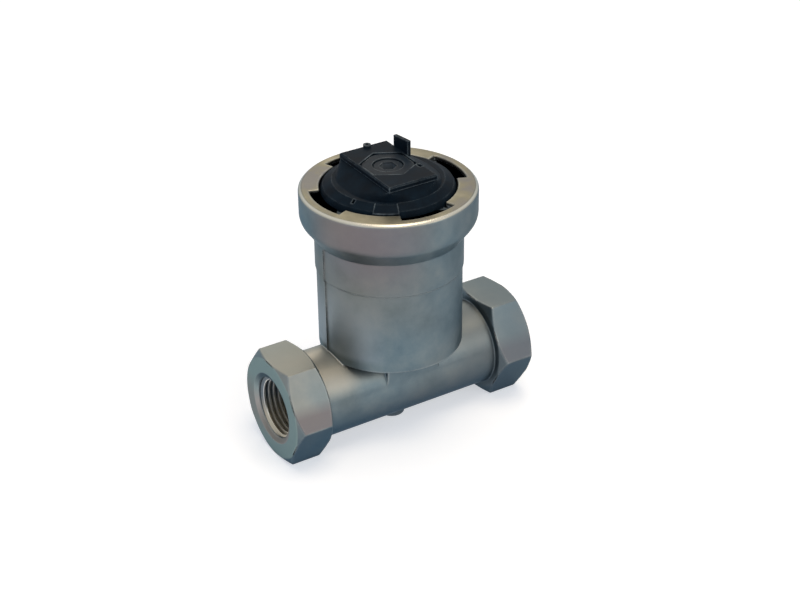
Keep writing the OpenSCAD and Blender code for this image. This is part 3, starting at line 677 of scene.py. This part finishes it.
def nitrile(name):
    """Black nitrile rubber with a dry, slightly greyed skin."""
    material, tree = bare_material(name)
    bloom = noise(tree, mm(2.5), 4).outputs[0]
    colour = tones(tree, bloom, [(0.35, "#1B1C1E"), (0.7, "#2A2B2D")])
    skin = noise(tree, mm(0.25), 3).outputs[0]
    bump = add_node(tree, "Bump", {"Height": skin, "Strength": 0.2, "Distance": mm(0.02)})
    rubber = add_node(tree, "BsdfPrincipled", {"Base Color": colour, "Roughness": 0.62, "IOR": 1.52,
                                               "Normal": bump.outputs[0]})
    add_node(tree, "OutputMaterial", {"Surface": rubber.outputs[0]})
    return material


black_nitrile = nitrile("black_nitrile")
for ring in ("cage_o_ring", "bonnet_o_ring"):
    finish_node(ring, black_nitrile)
finish_node("valve_seal", black_nitrile, mm(0.1))
finish_node("diaphragm", black_nitrile)

# The strainer, the slip ring, the diaphragm plate and the spring cup are pressed from thin
# stainless sheet, with the long grain of rolled steel.


def rolled_steel(name):
    """Stainless sheet with grain drawn out along the pipe's direction."""
    material, tree = bare_material(name)
    stretched = add_node(tree, "Mapping", {"Vector": object_coordinates(tree),
                                           "Scale": (0.06, 1, 1)})
    streaks = add_node(tree, "TexNoise", {"Vector": stretched.outputs[0], "Scale": 1 / mm(0.3),
                                          "Detail": 3.0})
    colour = tones(tree, streaks.outputs[0], [(0.3, "#A6A7A8"), (0.7, "#BDBEC0")])
    roughness = between(tree, streaks.outputs[0], 0.25, 0.4)
    bump = add_node(tree, "Bump", {"Height": streaks.outputs[0], "Strength": 0.15,
                                   "Distance": mm(0.02)})
    steel = add_node(tree, "BsdfPrincipled", {"Base Color": colour, "Metallic": 1.0,
                                              "Roughness": roughness, "Normal": bump.outputs[0]})
    add_node(tree, "OutputMaterial", {"Surface": steel.outputs[0]})
    return material


steel_sheet = rolled_steel("rolled_stainless")
finish_node("strainer", steel_sheet, mm(0.05))
finish_node("slip_ring", steel_sheet, mm(0.2))
finish_node("diaphragm_plate", steel_sheet, mm(0.2))
finish_node("spring_cup", steel_sheet, mm(0.2))

# Both springs are coiled from drawn wire and the circlip is bent from it.
# The wire is smooth, with a darker oiled tone.


def drawn_wire(name):
    """Spring wire: smooth grey steel with short darker patches of oil."""
    material, tree = bare_material(name)
    oil = noise(tree, mm(1.6), 3).outputs[0]
    colour = tones(tree, oil, [(0.35, "#77797B"), (0.65, "#9B9D9F")])
    roughness = between(tree, oil, 0.22, 0.38)
    wire = add_node(tree, "BsdfPrincipled", {"Base Color": colour, "Metallic": 1.0,
                                             "Roughness": roughness})
    add_node(tree, "OutputMaterial", {"Surface": wire.outputs[0]})
    return material


def round_wire(name, material):
    """Rounds the facets of a coiled wire with a weld and a subdivision."""
    node = finish_node(name, material)
    weld = node.modifiers.new("weld", "WELD")
    weld.merge_threshold = weld_reach
    facets = node.modifiers.new("facets", "SUBSURF")
    facets.levels = 1
    facets.render_levels = 1
    for polygon in node.data.polygons:
        polygon.use_smooth = True


spring_wire = drawn_wire("drawn_spring_wire")
round_wire("return_spring", spring_wire)
round_wire("setting_spring", spring_wire)
finish_node("guide_circlip", spring_wire, mm(0.08))

# The stem is turned from stainless bar; the valve holder, the diaphragm washer and the
# stem nut are turned brass. All of them carry fine rings about the valve axis.


def turned_bar(name, dark, light, roughness_low, roughness_high):
    """Bar metal with turning rings about the valve axis."""
    material, tree = bare_material(name)
    tarnish_and_shade = noise(tree, mm(3), 3).outputs[0]
    colour = tones(tree, tarnish_and_shade, [(0.3, dark), (0.7, light)])
    roughness = between(tree, tarnish_and_shade, roughness_low, roughness_high)
    rings = add_node(tree, "TexWave", {"Vector": object_coordinates(tree),
                                       "Scale": math.pi / (20 * mm(0.3)), "Distortion": 0.1},
                     wave_type="RINGS", rings_direction="Z")
    bump = add_node(tree, "Bump", {"Height": rings.outputs["Fac"], "Strength": 0.25,
                                   "Distance": mm(0.02)})
    bar = add_node(tree, "BsdfPrincipled", {"Base Color": colour, "Metallic": 1.0,
                                            "Roughness": roughness, "Normal": bump.outputs[0]})
    add_node(tree, "OutputMaterial", {"Surface": bar.outputs[0]})
    return material


turned_steel = turned_bar("turned_stainless", "#A9A9AA", "#C4C4C4", 0.2, 0.32)
turned_brass = turned_bar("turned_brass", "#B98F3E", "#D3AE5E", 0.22, 0.36)
finish_node("valve_stem", turned_steel, mm(0.08))
for part in ("valve_holder", "diaphragm_washer", "stem_nut"):
    finish_node(part, turned_brass, mm(0.1))

# The screw and its bush are machined steel, blackened hot in oxide salts and oiled.
# The edges wear through to a slightly lighter grey.

screw_top_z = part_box("adjusting_screw")[1].z
socket_r = mm(3.2)


def socket_wear_and_glint(tree, place):
    """1 inside the screw's hexagon socket, where the key has rubbed the oxide away and a highlight
    is painted.
    """
    return product(tree, ramped(tree, valve_radius(tree, place), socket_r + mm(0.2), socket_r),
                   ramped(tree, place.outputs["Z"], screw_top_z - mm(0.2), screw_top_z - mm(0.6)))


def black_oxide(name):
    """Blackened steel: near black, satin, greyer in patches."""
    material, tree = bare_material(name)
    patches = noise(tree, mm(2.2), 4).outputs[0]
    wear_and_glint = worn_and_glinting_edges(tree, mm(0.4))
    oxide_tone = tones(tree, patches, [(0.35, "#17202A"), (0.7, "#202B35")])
    colour = mixed(tree, wear_and_glint, oxide_tone, linear("#6A747B"))
    place = add_node(tree, "SeparateXYZ", {0: object_coordinates(tree)})
    # Key wear in the socket, with a painted highlight.
    colour = mixed(tree, socket_wear_and_glint(tree, place), colour, linear("#5F6972"))
    roughness = between(tree, patches, 0.45, 0.58)
    skin = noise(tree, mm(0.3), 3).outputs[0]
    bump = add_node(tree, "Bump", {"Height": skin, "Strength": 0.2, "Distance": mm(0.02)})
    oxide = add_node(tree, "BsdfPrincipled", {"Base Color": colour, "Roughness": roughness,
                                              "Specular IOR Level": 0.06,
                                              "Normal": bump.outputs[0]})
    add_node(tree, "OutputMaterial", {"Surface": oxide.outputs[0]})
    return material


blackened = black_oxide("black_oxide_steel")
finish_node("screw_bush", blackened, mm(0.2))
finish_node("adjusting_screw", blackened, mm(0.2))

# The bonnet is one moulding of black glass-filled nylon. Its skin is satin with a fine
# speckle where the glass fibres lie close to the surface.

lug_inner_r = mm(22.2)


def lit_lug_tops(tree):
    """1 on the tops of the four lugs, where painted light makes them greyer than the rest of the
    moulding.
    """
    place = add_node(tree, "SeparateXYZ", {0: object_coordinates(tree)})
    facing = add_node(tree, "SeparateXYZ", {0: add_node(tree, "NewGeometry").outputs["Normal"]})
    return product(tree, ramped(tree, valve_radius(tree, place), lug_inner_r,
                                lug_inner_r + mm(0.4)),
                   ramped(tree, facing.outputs["Z"], 0.6, 0.9))


def glass_filled_nylon(name):
    """Black nylon with fibre speckle, and edges rubbed grey with a painted highlight, a little
    shiny.
    """
    material, tree = bare_material(name)
    cast = noise(tree, mm(5), 4).outputs[0]
    # Edges are rubbed grey, with a painted highlight along them.
    wear_and_glint = worn_and_glinting_edges(tree, mm(0.5))
    moulded = tones(tree, cast, [(0.35, "#0A131C"), (0.7, "#101E2A")])
    # Painted light: the lug tops are lightened to a grey.
    moulded = mixed(tree, lit_lug_tops(tree), moulded, linear("#48525A"))
    colour = mixed(tree, wear_and_glint, moulded, linear("#5F6C76"))
    satin = between(tree, cast, 0.5, 0.6)
    roughness = add_node(tree, "Mix", {0: wear_and_glint, 2: satin, 3: 0.32}).outputs[0]
    fibres = noise(tree, mm(0.35), 4, 0.7).outputs[0]
    soft_edges = add_node(tree, "Bevel", {"Radius": mm(0.25)}, samples=6).outputs[0]
    bump = add_node(tree, "Bump", {"Height": fibres, "Strength": 0.25, "Distance": mm(0.03),
                                   "Normal": soft_edges})
    nylon = add_node(tree, "BsdfPrincipled", {"Base Color": colour, "Roughness": roughness,
                                              "IOR": 1.53, "Specular IOR Level": 0.03,
                                              "Normal": bump.outputs[0]})
    add_node(tree, "OutputMaterial", {"Surface": nylon.outputs[0]})
    return material


black_nylon = glass_filled_nylon("black_glass_filled_nylon")
finish_node("bonnet", black_nylon, mm(0.15))
